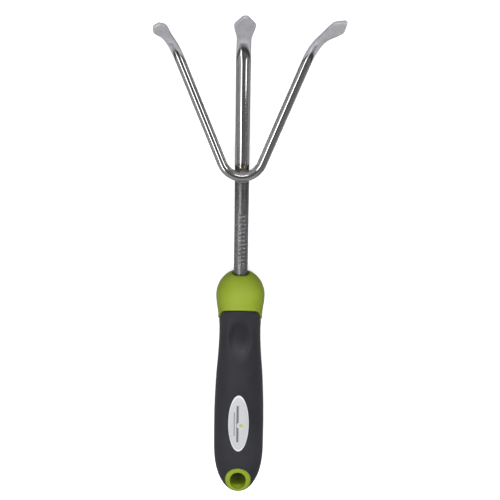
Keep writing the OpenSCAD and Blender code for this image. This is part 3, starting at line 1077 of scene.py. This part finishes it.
def steel_material(head, colours):
    """Polished bars, a duller neck and satin blades.

    A painted dark reflection where the forging starts, brown heat tint at the crossing, and painted
    shade in the crossing's corners.
    """
    made = Nodes("drawn_steel")
    shader = made.shader
    place = made.place()
    axes = made.add("ShaderNodeSeparateXYZ", {"Vector": place})
    y = axes.outputs["Y"]
    rod_z = OUTER_LOW.z + head.rod_r
    sideways = made.math("ABSOLUTE", axes.outputs["X"])
    off_bar = 8 * MM
    on_arm = 9 * MM
    axis_z = made.remap(sideways, off_bar, on_arm, 0.0, rod_z)
    front = made.math("SUBTRACT", axes.outputs["Z"], axis_z)
    polished = made.remap(y, head.vee_y - 3 * MM, head.vee_y - 1 * MM)
    steep = made.remap(sideways, off_bar, on_arm, 2.1, 2.6)
    reach = made.math("SUBTRACT", y, made.math("MULTIPLY", front, steep))
    past = made.remap(y, head.mid_bend_y + 9.9 * MM, head.mid_bend_y + 11.2 * MM)
    forged = made.math("MAXIMUM", past, made.remap(
        reach, head.mid_bend_y - 2.1 * MM, head.mid_bend_y - 0.1 * MM))
    # Painted dark reflection: a dark band where the polished bar's highlights end, just before the
    # forging.
    painted_dark_arch = made.math("MULTIPLY", made.remap(
        reach, head.mid_bend_y - 4.1 * MM, head.mid_bend_y - 1.9 * MM), made.remap(
        reach, head.mid_bend_y - 1.7 * MM, head.mid_bend_y - 0.1 * MM, 0.85, 0.0))
    painted_dark_arch = made.math("MULTIPLY", painted_dark_arch, made.math("SUBTRACT", 1.0, past))
    streaks = made.noise(made.place(scale=(900, 25, 900)), 1.0, 4.0, 0.6)
    blotches = made.noise(place, 260.0, 4.0, 0.6)
    grain = made.noise(place, 1500.0, 4.0, 0.7)
    crossing = made.add("ShaderNodeVectorMath", {0: place, 1: (
        0.0, head.vee_y + head.rod_r + 1.6 * MM, head.bar_r)}, operation="DISTANCE").outputs["Value"]
    heat = made.remap(crossing, 1.2 * MM, 4.6 * MM, 1.0, 0.0)
    heat = made.math("MULTIPLY", heat, made.remap(blotches, 0.25, 0.6))
    corner = made.add("ShaderNodeCombineXYZ", {"X": sideways, "Y": y, "Z": axes.outputs["Z"]})
    # Painted shade in the corners beside the bar, just above the V.
    painted_corner_shade = made.add("ShaderNodeVectorMath", {0: corner.outputs["Vector"], 1: (
        head.bar_r, head.vee_y + head.rod_r + 1.4 * MM, 0.5 * head.bar_r)}, operation="DISTANCE")
    painted_corner_shade = made.remap(painted_corner_shade.outputs["Value"], 1.2 * MM, 2.6 * MM, 1.0, 0.0)
    neck_speckle = made.remap(grain, 0.36, 0.66, 0.45, 1.2)
    # The speckle darkens towards the V.
    neck_speckle = made.math("MULTIPLY", neck_speckle, made.remap(
        y, head.tick_y + 24 * MM, head.vee_y - 8 * MM, 1.0, 0.66))
    neck = made.mix_colour(1.0, rgba(colours.neck), made.add(
        "ShaderNodeCombineColor", {0: neck_speckle, 1: neck_speckle, 2: neck_speckle}).outputs["Color"], "MULTIPLY")
    bright = made.mix_colour(made.remap(streaks, 0.3, 0.75, 0.0, 0.5), rgba(colours.steel),
                             rgba(colours.steel, 0.86))
    satin = made.mix_colour(made.remap(blotches, 0.35, 0.7), rgba(colours.blade),
                            rgba(colours.blade, 0.84))
    base = made.mix_colour(polished, neck, bright)
    base = made.mix_colour(forged, base, satin)
    base = made.mix_colour(heat, base, rgba(colours.tint))
    base = made.mix_colour(painted_corner_shade, base, CORNER_SHADE_BLACK)
    base = made.mix_colour(painted_dark_arch, base, PAINTED_ARCH_GREY)
    rough_neck = made.remap(grain, 0.3, 0.7, 0.34, 0.5)
    rough_bright = made.remap(streaks, 0.3, 0.7, 0.05, 0.1)
    rough_blade = made.remap(blotches, 0.3, 0.7, 0.5, 0.62)
    rough = made.add("ShaderNodeMix", {"Factor": polished, 2: rough_neck, 3: rough_bright})
    rough = made.add("ShaderNodeMix", {"Factor": forged, 2: rough.outputs[0], 3: rough_blade})
    made.feed(shader.inputs["Base Color"], base)
    made.feed(shader.inputs["Roughness"], rough.outputs[0])
    made.feed(shader.inputs["Metallic"], made.remap(forged, 0.0, 1.0, 1.0, 0.6))
    dull = made.add("ShaderNodeMix", {"Factor": polished, 2: 0.35, 3: 0.02})
    fine = made.bump(grain, 0.3, 0.02 * MM)
    made.feed(fine.node.inputs["Strength"], dull.outputs[0])
    made.feed(shader.inputs["Normal"], made.bump(streaks, 0.03, 0.04 * MM, fine))
    return made.material


def weld_material(head, colours):
    """Rippled weld metal: brown and straw above the V, and bright below it."""
    made = Nodes("weld_metal")
    patches = made.noise(made.place(), 900.0, 3.0, 0.6)
    base = made.mix_colour(made.remap(patches, 0.35, 0.65), rgba(colours.tint),
                           STRAW_WELD)
    axes = made.add("ShaderNodeSeparateXYZ", {"Vector": made.place()})
    below = made.math("LESS_THAN", axes.outputs["Y"], head.vee_y)
    base = made.mix_colour(below, base, BRIGHT_WELD)
    made.feed(made.shader.inputs["Base Color"], base)
    made.feed(made.shader.inputs["Roughness"], made.remap(patches, 0.3, 0.7, 0.3, 0.5))
    made.shader.inputs["Metallic"].default_value = 1.0
    made.feed(made.shader.inputs["Normal"], made.bump(patches, 0.3, 0.06 * MM))
    return made.material


def green_material(handle, colours):
    """Moulded green plastic with a fine spark-eroded surface, and painted shade inside the hanging
    hole.
    """
    made = Nodes("green_polypropylene")
    cloud = made.noise(made.place(), 60.0, 3.0, 0.5)
    grain = made.noise(made.place(), 3200.0, 3.0, 0.6)
    deep = rgba([0.88 * colours.green[0], 0.9 * colours.green[1], 0.8 * colours.green[2]])
    base = made.mix_colour(made.remap(cloud, 0.3, 0.7), rgba(colours.green), deep)
    axes = made.add("ShaderNodeSeparateXYZ", {"Vector": made.place()})
    flat = made.add("ShaderNodeCombineXYZ", {"X": axes.outputs["X"], "Y": axes.outputs["Y"]})
    away = made.add("ShaderNodeVectorMath", {0: flat.outputs["Vector"]}, operation="LENGTH")
    # Painted shade on the bore's wall, growing deeper down the hanging hole.
    wall = made.remap(away.outputs["Value"], handle.hole_r + 0.5 * MM,
                      handle.hole_r + 1.4 * MM, 1.0, 0.0)
    mouth = surface_z(handle, 0.0, 0.0, TOP)
    depth = made.remap(axes.outputs["Z"], mouth - 5 * MM, mouth - 0.8 * MM, 1.0, 0.0)
    shade = rgba([0.34 * colours.green[0], 0.38 * colours.green[1], 0.3 * colours.green[2]])
    base = made.mix_colour(made.math("MULTIPLY", wall, depth), base, shade)
    made.feed(made.shader.inputs["Base Color"], base)
    made.feed(made.shader.inputs["Roughness"], made.remap(grain, 0.3, 0.7, 0.5, 0.6))
    made.shader.inputs["Specular IOR Level"].default_value = 0.4
    made.feed(made.shader.inputs["Normal"], made.bump(grain, 0.1, 0.03 * MM))
    return made.material


def grip_material(handle, colours):
    """Soft moulded rubber: matt and finely pebbled.

    The thumb hollow has painted shade in its upper part and a painted highlight on its lower part.
    """
    made = Nodes("soft_rubber")
    pebble = made.add("ShaderNodeTexVoronoi", {"Vector": made.place(), "Scale": 1700.0},
                      feature="SMOOTH_F1").outputs["Distance"]
    grain = made.noise(made.place(), 2400.0, 4.0, 0.6)
    cloud = made.noise(made.place(), 45.0, 4.0, 0.55)
    worn = rgba(colours.grip, 1.35)
    base = made.mix_colour(made.remap(cloud, 0.35, 0.75), rgba(colours.grip), worn)
    base = made.mix_colour(made.remap(grain, 0.55, 0.8, 0.0, 0.3), base, RUBBER_DUST)
    axes = made.add("ShaderNodeSeparateXYZ", {"Vector": made.place()})
    y = axes.outputs["Y"]
    scaled = made.place(scale=(1 / handle.thumb_r, 1 / handle.thumb_l, 0.0),
                        location=(0.0, -handle.thumb_y / handle.thumb_l, 0.0))
    away = made.add("ShaderNodeVectorMath", {0: scaled}, operation="LENGTH")
    inside = made.remap(away.outputs["Value"], 0.5, 1.0, 1.0, 0.0)
    inside = made.math("MULTIPLY", inside, made.math("GREATER_THAN", axes.outputs["Z"], 0.0))
    # Painted shade in the hollow's upper part and a painted highlight on its lower slope.
    upper = made.remap(y, handle.thumb_y - 6 * MM, handle.thumb_y + 4 * MM, 0.0, 0.8)
    lower = made.remap(y, handle.thumb_y - 10 * MM, handle.thumb_y - 1 * MM, 0.9, 0.0)
    base = made.mix_colour(made.math("MULTIPLY", inside, upper), base,
                           rgba(colours.grip, 0.6))
    base = made.mix_colour(made.math("MULTIPLY", inside, lower), base,
                           rgba(colours.grip, 1.9))
    made.feed(made.shader.inputs["Base Color"], base)
    made.feed(made.shader.inputs["Roughness"], made.remap(cloud, 0.3, 0.7, 0.52, 0.64))
    made.shader.inputs["Specular IOR Level"].default_value = 0.35
    made.shader.inputs["Sheen Weight"].default_value = 0.05
    made.shader.inputs["Sheen Roughness"].default_value = 0.5
    made.feed(made.shader.inputs["Normal"], made.bump(grain, 0.12, 0.05 * MM, made.bump(
        pebble, 0.1, 0.05 * MM)))
    return made.material


def badge_material(badge, colours):
    """Silver white print with a whiter rim, two plain ruled lines and a plain dot."""
    made = Nodes("badge_print")
    place = made.place(location=(0, -badge.middle_y, 0))
    axes = made.add("ShaderNodeSeparateXYZ", {"Vector": place})
    x = axes.outputs["X"]
    y = axes.outputs["Y"]
    satin = made.noise(made.place(), 1500.0, 3.0, 0.6)
    base = made.mix_colour(made.remap(satin, 0.35, 0.7), rgba(colours.badge),
                           rgba(colours.badge, 0.9))
    dot = made.add("ShaderNodeVectorMath", {0: made.add(
        "ShaderNodeCombineXYZ", {"X": x, "Y": y}).outputs["Vector"], 1: (1.5 * MM, -0.8 * MM, 0.0)},
        operation="DISTANCE").outputs["Value"]
    for line_x, line_w, line_l, ink in ((-0.6 * MM, 0.7 * MM, 13 * MM, 0.17),
                                        (-2.6 * MM, 0.36 * MM, 8.5 * MM, 0.26)):
        across = made.math("ABSOLUTE", made.math("SUBTRACT", x, line_x))
        along = made.math("ABSOLUTE", y)
        mask = made.math("MULTIPLY", made.math("LESS_THAN", across, line_w),
                         made.math("LESS_THAN", along, line_l))
        mask = made.math("MULTIPLY", mask, made.math("GREATER_THAN", dot, 2.6 * MM))
        base = made.mix_colour(mask, base, (ink, ink, 1.05 * ink, 1.0))
    base = made.mix_colour(made.math("LESS_THAN", dot, 1.1 * MM), base, DOT_GREEN)
    part_x = made.math("POWER", made.math("DIVIDE", x, badge.half_width), 2.0)
    part_y = made.math("POWER", made.math("DIVIDE", y, badge.half_length), 2.0)
    oval = made.math("ADD", part_x, part_y)
    base = made.mix_colour(made.remap(oval, 0.86, 0.92), base, BADGE_RIM)
    made.feed(made.shader.inputs["Base Color"], base)
    made.feed(made.shader.inputs["Roughness"], made.remap(satin, 0.3, 0.7, 0.3, 0.4))
    made.shader.inputs["Coat Weight"].default_value = 0.3
    made.shader.inputs["Coat Roughness"].default_value = 0.12
    made.feed(made.shader.inputs["Normal"], made.bump(satin, 0.05, 0.02 * MM))
    return made.material


def floor_material(stage):
    """Pale sweep that glows more further out. Everything but the camera sees it plain grey."""
    made = Nodes("pale_sweep")
    cloud = made.noise(made.place(), 8.0, 2.0, 0.5)
    tone = made.mix_colour(cloud, rgba(stage.floor), rgba(stage.floor, 0.97))
    made.feed(made.shader.inputs["Base Color"], tone)
    made.shader.inputs["Roughness"].default_value = 0.9
    made.shader.inputs["Specular IOR Level"].default_value = 0.1
    away = made.add("ShaderNodeVectorMath", {0: made.place()}, operation="LENGTH")
    glow = made.add("ShaderNodeEmission", {"Color": WHITE})
    made.feed(glow.inputs["Strength"], made.remap(away.outputs["Value"], 0.4, 1.6, 0.55, 1.05))
    lit = made.add("ShaderNodeAddShader", {0: made.shader.outputs[0], 1: glow.outputs[0]})
    grey = made.add("ShaderNodeBsdfDiffuse", {"Color": (0.3, 0.3, 0.3, 1.0)})
    seen = made.add("ShaderNodeLightPath").outputs["Is Camera Ray"]
    mixed = made.add("ShaderNodeMixShader", {0: seen, 1: grey.outputs[0], 2: lit.outputs[0]})
    output = made.tree.nodes["Material Output"]
    made.feed(output.inputs["Surface"], mixed.outputs[0])
    return made.material


# --- Stage ---

def build_floor(head, handle, stage):
    """A sweep that touches the collar's back and the middle tine's bend, where the tool rests."""
    collar = Vector((0, handle.collar_y, CORE_LOW.z))
    bend = Vector((0, head.mid_bend_y, TINE_LOW.z))
    slope = math.atan2(bend.z - collar.z, bend.y - collar.y)
    deselect_everything()
    bpy.ops.mesh.primitive_plane_add(size=6.0, location=collar, rotation=(slope, 0, 0))
    floor = bpy.context.object
    floor.name = "pale_floor"
    bpy.ops.object.transform_apply(location=True, rotation=True, scale=True)
    floor.data.materials.append(floor_material(stage))


def add_softbox(name, place, aim, size, power):
    """One rectangular softbox that faces the tool."""
    light = bpy.data.lights.new(name, "AREA")
    light.shape = "RECTANGLE"
    light.size, light.size_y = size
    light.energy = power
    lamp = bpy.data.objects.new(name, light)
    lamp.location = place
    lamp.rotation_mode = "QUATERNION"
    lamp.rotation_quaternion = (aim - place).to_track_quat("-Z", "Y")
    bpy.context.scene.collection.objects.link(lamp)
    return lamp


def build_lights(stage):
    """Strip softboxes at both sides and over the head, and a large one that isn't mirrored."""
    tines = Vector((0, 235 * MM, 0))
    strips = (
        ("left_strip", Vector((-0.375, -0.15, 0.75)), (0.62, 0.17), 1.0),
        ("right_strip", Vector((0.66, 0.07, 0.66)), (0.45, 0.18), 0.6),
        ("top_strip", Vector((0.0, 0.42, 0.75)), (0.5, 0.14), 0.45),
    )
    for name, offset, size, share in strips:
        add_softbox(name, tines + offset, tines, size, share * stage.strip_power)
    overhead = Vector((0.12, 0.05, 1.3))
    box = add_softbox("overhead_box", tines + overhead, tines, (1.6, 1.6), stage.overhead_power)
    box.visible_glossy = False


def build_world():
    """A white surround to the camera, and a grey room, darker above and on the right, to steel."""
    world = bpy.data.worlds.new("studio_room")
    world.use_nodes = True
    tree = world.node_tree
    tree.nodes.clear()
    output = tree.nodes.new("ShaderNodeOutputWorld")
    seen = tree.nodes.new("ShaderNodeBackground")
    seen.inputs["Color"].default_value = WHITE
    seen.inputs["Strength"].default_value = 1.05
    room = tree.nodes.new("ShaderNodeBackground")
    direction = tree.nodes.new("ShaderNodeTexCoord")
    axes = tree.nodes.new("ShaderNodeSeparateXYZ")
    ramp = tree.nodes.new("ShaderNodeValToRGB")
    ramp.color_ramp.elements[0].position = 0.0
    ramp.color_ramp.elements[0].color = (0.30, 0.30, 0.31, 1.0)
    ramp.color_ramp.elements[1].position = 1.0
    ramp.color_ramp.elements[1].color = (0.10, 0.10, 0.105, 1.0)
    middle = ramp.color_ramp.elements.new(0.6)
    middle.color = (0.42, 0.42, 0.42, 1.0)
    shade = tree.nodes.new("ShaderNodeMapRange")
    shade.interpolation_type = "SMOOTHSTEP"
    for name, value in (("From Min", 0.3), ("From Max", 0.55), ("To Min", 1.0), ("To Max", 0.48)):
        shade.inputs[name].default_value = value
    path = tree.nodes.new("ShaderNodeLightPath")
    mix = tree.nodes.new("ShaderNodeMixShader")
    tree.links.new(direction.outputs["Generated"], axes.inputs["Vector"])
    tree.links.new(axes.outputs["Z"], ramp.inputs["Fac"])
    tree.links.new(ramp.outputs["Color"], room.inputs["Color"])
    tree.links.new(axes.outputs["X"], shade.inputs["Value"])
    tree.links.new(shade.outputs["Result"], room.inputs["Strength"])
    tree.links.new(path.outputs["Is Camera Ray"], mix.inputs[0])
    tree.links.new(room.outputs[0], mix.inputs[1])
    tree.links.new(seen.outputs[0], mix.inputs[2])
    tree.links.new(mix.outputs[0], output.inputs["Surface"])
    bpy.context.scene.world = world
    bpy.context.scene.view_settings.view_transform = "Standard"


def build_camera(stage):
    """The camera leans towards the tines and looks down on the badge side."""
    back = Vector((0, math.sin(stage.tilt), math.cos(stage.tilt)))
    level_up = Vector((0, math.cos(stage.tilt), -math.sin(stage.tilt)))
    level_right = Vector((1, 0, 0))
    right = level_right * math.cos(stage.roll) + level_up * math.sin(stage.roll)
    up = level_up * math.cos(stage.roll) - level_right * math.sin(stage.roll)
    aim = Vector((0, stage.aim_y, 0)) + right * stage.aim_side
    data = bpy.data.cameras.new("shop_camera")
    data.lens = stage.lens
    data.sensor_width = 36.0
    data.clip_start = 0.01
    data.clip_end = 20.0
    camera = bpy.data.objects.new("shop_camera", data)
    eye = aim + back * stage.distance
    camera.matrix_world = Matrix((
        (right.x, up.x, back.x, eye.x),
        (right.y, up.y, back.y, eye.y),
        (right.z, up.z, back.z, eye.z),
        (0, 0, 0, 1),
    ))
    bpy.context.scene.collection.objects.link(camera)
    bpy.context.scene.camera = camera


# --- Operators ---

class CULTIVATOR_OT_steel_head(bpy.types.Operator):
    """Build the middle tine and the rod that makes both outer tines"""

    bl_idname = "cultivator.steel_head"
    bl_label = "Steel head"

    def execute(self, context):
        head = context.scene.cultivator_head
        material = steel_material(head, context.scene.cultivator_colours)
        build_center_tine(head, material)
        build_outer_tines(head, material)
        return {"FINISHED"}


class CULTIVATOR_OT_weld_beads(bpy.types.Operator):
    """Build the two weld beads at the crossing"""

    bl_idname = "cultivator.weld_beads"
    bl_label = "Weld beads"

    def execute(self, context):
        scene = context.scene
        build_weld_beads(scene.cultivator_head, weld_material(
            scene.cultivator_head, scene.cultivator_colours))
        return {"FINISHED"}


class CULTIVATOR_OT_handle_core(bpy.types.Operator):
    """Build the green core with its collar and hanging eye"""

    bl_idname = "cultivator.handle_core"
    bl_label = "Green core"

    def execute(self, context):
        scene = context.scene
        build_handle_core(scene.cultivator_handle, scene.cultivator_head,
                          green_material(scene.cultivator_handle, scene.cultivator_colours))
        return {"FINISHED"}


class CULTIVATOR_OT_grip_sleeve(bpy.types.Operator):
    """Build the soft grip"""

    bl_idname = "cultivator.grip_sleeve"
    bl_label = "Soft grip"

    def execute(self, context):
        scene = context.scene
        build_grip_sleeve(scene.cultivator_handle, scene.cultivator_badge,
                          grip_material(scene.cultivator_handle, scene.cultivator_colours))
        return {"FINISHED"}


class CULTIVATOR_OT_badge(bpy.types.Operator):
    """Build the oval badge"""

    bl_idname = "cultivator.badge"
    bl_label = "Oval badge"

    def execute(self, context):
        scene = context.scene
        build_badge(scene.cultivator_handle, scene.cultivator_badge,
                    badge_material(scene.cultivator_badge, scene.cultivator_colours))
        return {"FINISHED"}


class CULTIVATOR_OT_stage(bpy.types.Operator):
    """Build the floor, the lights, the surround and the camera"""

    bl_idname = "cultivator.stage"
    bl_label = "Stage"

    def execute(self, context):
        scene = context.scene
        build_camera(scene.cultivator_stage)
        build_floor(scene.cultivator_head, scene.cultivator_handle, scene.cultivator_stage)
        build_lights(scene.cultivator_stage)
        build_world()
        return {"FINISHED"}


class CULTIVATOR_PT_sidebar(bpy.types.Panel):
    """Lists the pieces of the hand cultivator"""

    bl_label = "Hand cultivator"
    bl_idname = "CULTIVATOR_PT_sidebar"
    bl_space_type = "VIEW_3D"
    bl_region_type = "UI"
    bl_category = "Cultivator"

    def draw(self, context):
        layout = self.layout
        for operator in OPERATORS:
            layout.operator(operator.bl_idname)
        for name in ("cultivator_head", "cultivator_handle", "cultivator_badge",
                     "cultivator_colours", "cultivator_stage"):
            settings = getattr(context.scene, name)
            box = layout.box()
            for key in settings.bl_rna.properties.keys():
                if key not in ("rna_type", "name"):
                    box.prop(settings, key)


OPERATORS = (
    CULTIVATOR_OT_steel_head,
    CULTIVATOR_OT_weld_beads,
    CULTIVATOR_OT_handle_core,
    CULTIVATOR_OT_grip_sleeve,
    CULTIVATOR_OT_badge,
    CULTIVATOR_OT_stage,
)
SETTINGS = {
    "cultivator_head": CultivatorHead,
    "cultivator_handle": CultivatorHandle,
    "cultivator_badge": CultivatorBadge,
    "cultivator_colours": CultivatorColours,
    "cultivator_stage": CultivatorStage,
}
CLASSES = (CultivatorBlade,) + tuple(SETTINGS.values()) + OPERATORS + (CULTIVATOR_PT_sidebar,)


def register():
    for item in CLASSES:
        bpy.utils.register_class(item)
    for name, group in SETTINGS.items():
        setattr(bpy.types.Scene, name, PointerProperty(type=group))


def unregister():
    for name in SETTINGS:
        delattr(bpy.types.Scene, name)
    for item in reversed(CLASSES):
        bpy.utils.unregister_class(item)


def set_blades(head):
    """Gives the three blades their own sizes."""
    for side, sizes in BLADES.items():
        blade = getattr(head, side)
        blade.lean = math.radians(sizes["lean"])
        blade.twist = math.radians(sizes["twist"])
        blade.shoulder = sizes["shoulder"]
        blade.set_forward = sizes["set_forward"]
        for key in ("length", "width", "point", "round"):
            setattr(blade, key, sizes[key] * MM)


def main():
    register()
    set_blades(bpy.context.scene.cultivator_head)
    bpy.ops.cultivator.steel_head()
    bpy.ops.cultivator.weld_beads()
    bpy.ops.cultivator.handle_core()
    bpy.ops.cultivator.grip_sleeve()
    bpy.ops.cultivator.badge()
    bpy.ops.cultivator.stage()


if __name__ == "__main__":
    main()
